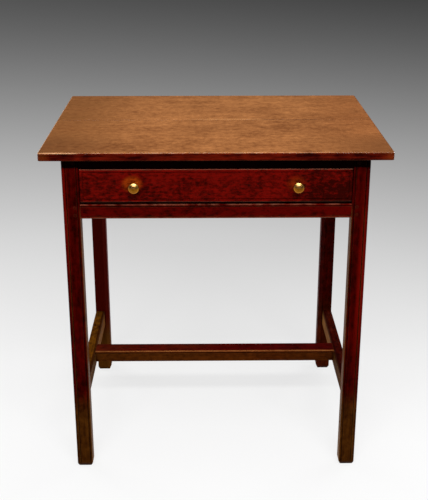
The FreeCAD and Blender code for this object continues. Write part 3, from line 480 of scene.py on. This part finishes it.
def drawer_face(node, seed):
    """Crimson stain over a curly board, rubbed to orange round its knobs, and pale along its rim,
    worn and with a painted highlight.
    """
    fin = Finish(bpy.data.materials.new("stained_" + node))
    wood = Plank(fin, node, "x", seed, ring_gap=0.0055, heart=(0.02, -0.06))
    low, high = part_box(node)
    x, _, z = fin.split(fin.spot())
    _, _, up = fin.facing()
    patchy = fin.rubbing()
    flecks = fin.cloud(wood.place, (11, 6, 6), 4.0, 0.7)
    tone = (0.48 + 0.2 * wood.fibres + 0.06 * wood.rings + 0.3 * wood.patches + 0.25 * wood.curl
            + 0.32 * wood.blotches + 1.1 * flecks)
    # Darker towards the right end and lighter along the top
    tone = tone - 0.55 * x.rise(0.12, 0.25) + 0.3 * z.rise(high.z - 0.04, high.z)
    coats = [(CRIMSON_PORE, 0.4 * wood.pores)]
    for knob, left, strength in (("knob_left", 0.004, 1.5), ("knob_right", 0.003, 0.35)):
        knob_low, knob_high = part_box(knob)
        across = x - (knob_low.x + knob_high.x) / 2 + left
        rise = z - (knob_low.z + knob_high.z) / 2 - 0.004
        away = (across * across + 1.5 * rise * rise) ** 0.5
        halo = (away + 0.004 * patchy).rise(0.025, 0.004) * (0.6 + 0.8 * patchy + 0.5 * flecks)
        coats.append((KNOB_HALO, strength * halo))
    # Darker down in grooves and inner corners
    in_hollows = fin.corners(0.004).rise(0.14, 0.42)
    # The rim painted pale where it turns up or down: wear and a painted highlight
    rim = (high.z - z).least(z - low.z)
    worn = rim.rise(0.003, 0.0015) * abs(up).rise(0.1, 0.45) * (0.75 + 0.45 * patchy)
    coats += [(CRIMSON_HOLLOW, 0.3 * in_hollows), (DRAWER_RIM, 0.42 * worn)]
    colour = fin.layers(fin.mix(CRIMSON_DARK, CRIMSON, tone), *coats)
    rough = 0.4 + 0.06 * wood.patches + 0.12 * wood.pores
    return fin.surface(colour, rough, planed(fin, wood), GRAIN_DEPTH, shine=0.12, tint=RED_SHINE)


def inner_piece(node, grain, seed, handled):
    """Bare wood within the table, brown with age and darker down in its inner corners, with saw
    marks.

    handled is how much paler its edges are rubbed than usual."""
    fin = Finish(bpy.data.materials.new("bare_" + node))
    wood = Plank(fin, node, grain, seed, ring_gap=0.004)
    tone = 0.5 + 0.2 * wood.fibres + 0.3 * wood.rings + 0.22 * wood.patches
    # Darker down in inner corners
    in_corners = fin.corners(0.012).rise(0.1, 0.5)
    worn = fin.edges(0.002) * (0.6 + 0.5 * fin.rubbing())
    colour = fin.layers(
        fin.mix(INNER_BROWN, INNER_PALE, tone),
        (INNER_PORE, 0.5 * wood.pores), (INNER_HOLLOW, 0.6 * in_corners),
        (INNER_RUBBED, (0.45 + handled) * worn))
    saw = fin.cloud(wood.place, (3.3, 330, 330), 1.0)
    height = 0.2 * wood.fibres - 0.6 * wood.pores + 0.14 * saw
    return fin.surface(colour, 0.7 + 0.06 * wood.patches, height, GRAIN_DEPTH, shine=0.2)


def peg_wood(node, seed):
    """Split pegs, darkened with the frame, with end grain showing, darker round their rim, and
    painted black as shadow where the top shades the front ones.
    """
    fin = Finish(bpy.data.materials.new("split_" + node))
    _, y, z = fin.split(fin.spot())
    place = fin.spot() + (seed, 0.0, 0.0)
    speck = fin.cloud(place, (1.1, 1.1, 1.1), 3.0, 0.6)
    patch = fin.cloud(place, (14, 14, 14))
    worn = fin.edges(0.0012) * (0.5 + 0.5 * fin.rubbing())
    # Darker down round the rim
    in_hollows = fin.corners(0.003).rise(0.1, 0.45)
    colour = fin.layers(
        fin.mix(PEG_DARK, PEG_RED, 0.45 + 0.25 * speck + 0.3 * patch),
        (PEG_RUBBED, 0.3 * worn), (PEG_HOLLOW, 0.7 * in_hollows),
        # Painted shadow of the top on the front pegs
        (PAINTED_SHADOW, SHADE * z.rise(*SHADE_ABOVE) * y.rise(*SHADE_AHEAD)))
    return fin.surface(colour, 0.5 + 0.08 * speck, speck, SPECK_DEPTH, shine=0.06, tint=RED_SHINE)


def knob_brass(node):
    """Turned brass, brown with age: rubbed round its rim, paler on its upper half as a painted
    highlight, dull with tarnish on its neck and rose, and darker on its face as a painted
    reflection of dark surroundings.

    What is left of its lacquer is on its upper half."""
    fin = Finish(bpy.data.materials.new("turned_brass_" + node))
    x, y, z = fin.split(fin.spot())
    low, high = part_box(node)
    middle = (low + high) / 2
    across, rise = x - middle.x, z - middle.z
    turning = fin.cloud(fin.spot(), (17, 0.4, 17))
    tarnish = fin.cloud(fin.spot(), (7, 7, 7), 4.0, 0.6)
    neck = (y - low.y).rise(*KNOB_NECK)
    # Painted reflection: the face darkened as if it mirrored dark surroundings
    face = ((across * across + rise * rise) ** 0.5).rise(*KNOB_FACE)
    dull = (0.1 + 0.7 * neck + 0.7 * face + 0.3 * tarnish + fin.corners(0.004)).held()
    # Painted highlight: the upper half paler
    colour = fin.layers(BRASS_RIM, (BRASS_HIGHLIGHT, rise.rise(0.001, 0.005)), (BRASS_DULL, dull))
    rough = 0.34 + 0.08 * dull + 0.04 * turning
    lacquer = 0.06 + 0.94 * rise.rise(-0.001, 0.004)
    height = 0.3 * turning + 0.2 * tarnish
    return fin.surface(colour, rough, height, TURNING_DEPTH, shine=0.5,
                       coat=lacquer, coat_rough=0.3, metal=1.0)


def old_iron(node):
    """Hand-made screws and nails, black with a bloom of rust."""
    fin = Finish(bpy.data.materials.new("old_iron_" + node))
    scale = fin.cloud(fin.spot(), (2.4, 2.4, 2.4), 4.0, 0.65)
    rust = fin.cloud(fin.spot(), (6, 6, 6), 3.0).rise(-0.06, 0.5)
    return fin.surface(fin.mix(IRON, RUST, rust), 0.55 + 0.1 * scale + 0.2 * rust, scale,
                       SPECK_DEPTH, shine=0.4, metal=0.7 * (1 - rust))


# The boards of the top: each one's place in the tree, and where the heart of the tree lies
TOP_BOARDS = {
    "top_board_front": dict(seed=1.0, heart=(-0.02, -0.10)),
    "top_board_back": dict(seed=2.3, heart=(0.05, -0.08)),
}

# The pieces of the frame, with the wear, and the painted light and shade, that frame_piece explains
LEG = dict(grain="z", rubbed=0.14, shine=0.02)
# The front legs carry a painted shadow of the top at their upper ends
FRONT_LEG = dict(LEG, shaded=0.02)
APRON = dict(tint=0.34)
SIDE_STRETCHER = dict(grain="y", rubbed=0.4, bare_wood=BARE_OLIVE, dark_edge=0.75, rough=0.6,
                      shine=0.01)
FRAME_PIECES = {
    "leg_front_left": dict(FRONT_LEG, seed=3.1, inside=0.8, foot=0.152,
                           lit_strip=(0.009, 0.68, 0.6, 0.24)),
    "leg_front_right": dict(FRONT_LEG, seed=4.1, inside=-0.8, foot=0.158,
                            lit_strip=(0.0147, 0.82, 0.43, 0.3)),
    "leg_back_left": dict(LEG, seed=5.1, tint=0.85, scuffed=0.1, foot=0.12),
    "leg_back_right": dict(LEG, seed=6.1, tint=0.02, scuffed=0.06, foot=0.19, foot_bare=0.28),
    # The upper rail is painted black all over as the shadow of the top
    "upper_front_rail": dict(grain="x", seed=7.2, rubbed=0.0, shadow_all_over=SHADE, shine=0.02),
    # The lower rail carries painted shade where other pieces shelter it
    "lower_front_rail": dict(grain="x", seed=8.4, tint=0.38, flecked=1.1,
                             front_lines=(0.12, 0.42), shelter_shade=0.9),
    "back_apron": dict(APRON, grain="x", seed=9.6),
    "side_apron_left": dict(APRON, grain="y", seed=10.3),
    "side_apron_right": dict(APRON, grain="y", seed=11.7),
    "side_stretcher_left": dict(SIDE_STRETCHER, seed=12.2, scuffed=0.66, inside=0.42),
    "side_stretcher_right": dict(SIDE_STRETCHER, seed=13.4, scuffed=0.44, inside=-0.75,
                                 red_top=0.3),
    # The medial stretcher carries painted shade where other pieces shelter it
    "medial_stretcher": dict(grain="x", seed=14.8, tint=0.28, scuffed=0.72, bare_wood=BARE_AMBER,
                             red_top=0.6, front_lines=(0.66, 0.0), line=BEAD_AMBER,
                             shelter_shade=0.45, rough=0.5, shine=0.02),
}

# The inner pieces, with the way that the grain of each runs and how far its edges are handled
INNER_PIECES = {
    "runner_left": ("y", 0.0), "runner_right": ("y", 0.0),
    "guide_left": ("y", 0.0), "guide_right": ("y", 0.0),
    "kicker_left": ("y", 0.0), "kicker_right": ("y", 0.0),
    "drawer_stops": ("x", 0.0), "glue_blocks": ("x", 0.0),
    "drawer_side_left": ("y", 0.3), "drawer_side_right": ("y", 0.3),
    "drawer_back": ("x", 0.0), "drawer_bottom": ("x", 0.0),
}


def dress(node, finish, *choices, **wear):
    """Gives a piece its finish."""
    material = finish(node, *choices, **wear)
    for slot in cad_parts[node].material_slots:
        slot.material = material


def dress_table():
    for node, board in TOP_BOARDS.items():
        dress(node, top_board, **board)
    for node, wear in FRAME_PIECES.items():
        dress(node, frame_piece, **wear)
    dress("drawer_front", drawer_face, seed=15.5)
    for number, (node, (grain, handled)) in enumerate(INNER_PIECES.items()):
        dress(node, inner_piece, grain, 16.0 + 1.1 * number, handled)
    for number, node in enumerate(("rail_pegs", "apron_pegs", "stretcher_pegs", "top_dowels")):
        dress(node, peg_wood, 0.7 * number)
    for node in ("knob_left", "knob_right", "knob_nuts"):
        dress(node, knob_brass)
    for node in ("top_screws", "drawer_nails"):
        dress(node, old_iron)


def seen(fin):
    """1 for what the eye sees, straight, in a polish or through glass, and 0 for other light."""
    path = fin.add("LightPath", {}, {}).socket.node.outputs
    return (Wire(fin, path["Is Camera Ray"]) + Wire(fin, path["Is Glossy Ray"])
            + Wire(fin, path["Is Transmission Ray"])).held()


# The floor, palest in front of the table and fading all round, a little sooner on the right
FLOOR_REACH = 60.0
PALE_SPOT = -0.82
PALE_ROUNDNESS = 0.34
FADE_REACH, FADE_POWER = 2.41, 2.27
PALE_NEAR, PALE_FAR, PALE_MOST = 0.984, 0.029, 0.95
LEAN, LEAN_REACH = 0.097, 2.5

# How much of the floor's paleness near the table is lit by the lamps, and so takes a shadow
LIT_SHARE = 0.18


def lay_floor():
    """A wide pale floor that fades into grey far from the table and keeps its shadow."""
    mesh = bpy.data.meshes.new("floor")
    mesh.from_pydata([(-FLOOR_REACH, -FLOOR_REACH, 0), (FLOOR_REACH, -FLOOR_REACH, 0),
                      (FLOOR_REACH, FLOOR_REACH, 0), (-FLOOR_REACH, FLOOR_REACH, 0)],
                     [], [(0, 1, 2, 3)])
    floor = bpy.data.objects.new("floor", mesh)
    bpy.context.scene.collection.objects.link(floor)
    fin = Finish(bpy.data.materials.new("pale_floor"))
    x, y, _ = fin.split(fin.spot())
    away = (x * x + y * y) ** 0.5
    back = y - PALE_SPOT
    near = (PALE_ROUNDNESS * x * x + back * back) ** 0.5
    fading = PALE_FAR + PALE_NEAR / (1 + (near / FADE_REACH) ** FADE_POWER)
    lean = x.most(-LEAN_REACH).least(LEAN_REACH) * near.rise(0.4, 2.2) * near.rise(30, 12)
    pale = (fading * math.e ** (-LEAN * lean)).least(PALE_MOST)
    shade = pale * (1 + 0.004 * fin.cloud(fin.spot(), (330, 330, 330), 3.0))
    eye = seen(fin)
    share = LIT_SHARE * away.rise(1.7, 0.5)
    lit, glow = shade * share, shade * (1 - share) * eye
    shader = fin.add("BsdfPrincipled", {}, {
        "Base Color": fin.mix(FLOOR_SHED, fin.join(lit, lit, lit), eye), "Roughness": 1.0,
        "Specular IOR Level": 0.0, "Emission Color": fin.join(glow, glow, glow),
        "Emission Strength": 1.0})
    fin.add("OutputMaterial", {}, {"Surface": shader})
    mesh.materials.append(fin.holder)


# The lamps: where each hangs, what it faces, its width and height in metres, and its watts
LAMPS = {
    "front_softbox": ((0.1, -2.45, 2.9), (0, -0.1, 0.55), 3.0, 0.3, 112),
    "overhead_softbox": ((0.1, -0.1, 3.4), (0, 0, 0.7), 2.0, 1.4, 42),
    "left_back_softbox": ((-2.3, 1.7, 0.43), (0, 0, 0.43), 1.6, 0.5, 60),
    "right_back_softbox": ((2.3, 1.7, 0.43), (0, 0, 0.43), 1.6, 0.5, 60),
}


def hang_lamp(name, place, target, width, height, power):
    lamp = bpy.data.lights.new(name, "AREA")
    lamp.shape, lamp.size, lamp.size_y, lamp.energy = "RECTANGLE", width, height, power
    holder = bpy.data.objects.new(name, lamp)
    holder.location = place
    holder.rotation_euler = (Vector(target) - Vector(place)).to_track_quat("-Z", "Y").to_euler()
    holder.visible_camera = False
    bpy.context.scene.collection.objects.link(holder)


def light_room():
    for name, lamp in LAMPS.items():
        hang_lamp(name, *lamp)
    world = bpy.data.worlds.new("room")
    room = Finish(world)
    colour = room.mix(ROOM_SHED, ROOM_SEEN, seen(room))
    shine = room.add("Background", {}, {"Color": colour, "Strength": 1.0})
    room.add("OutputWorld", {}, {"Surface": shine})
    bpy.context.scene.world = world


def set_camera():
    lens = bpy.data.cameras.new("camera")
    lens.sensor_fit = "VERTICAL"
    lens.sensor_height = FILM_HEIGHT
    lens.lens = FOCUS_LENGTH / PICTURE_HEIGHT * FILM_HEIGHT
    lens.shift_y = CAMERA_RISE
    camera = bpy.data.objects.new("camera", lens)
    camera.location = CAMERA_PLACE
    camera.rotation_euler = (math.radians(90 - CAMERA_TILT), 0, math.radians(-CAMERA_TURN))
    bpy.context.scene.collection.objects.link(camera)
    bpy.context.scene.camera = camera


dress_table()
lay_floor()
light_room()
set_camera()
bpy.context.scene.view_settings.view_transform = "Standard"
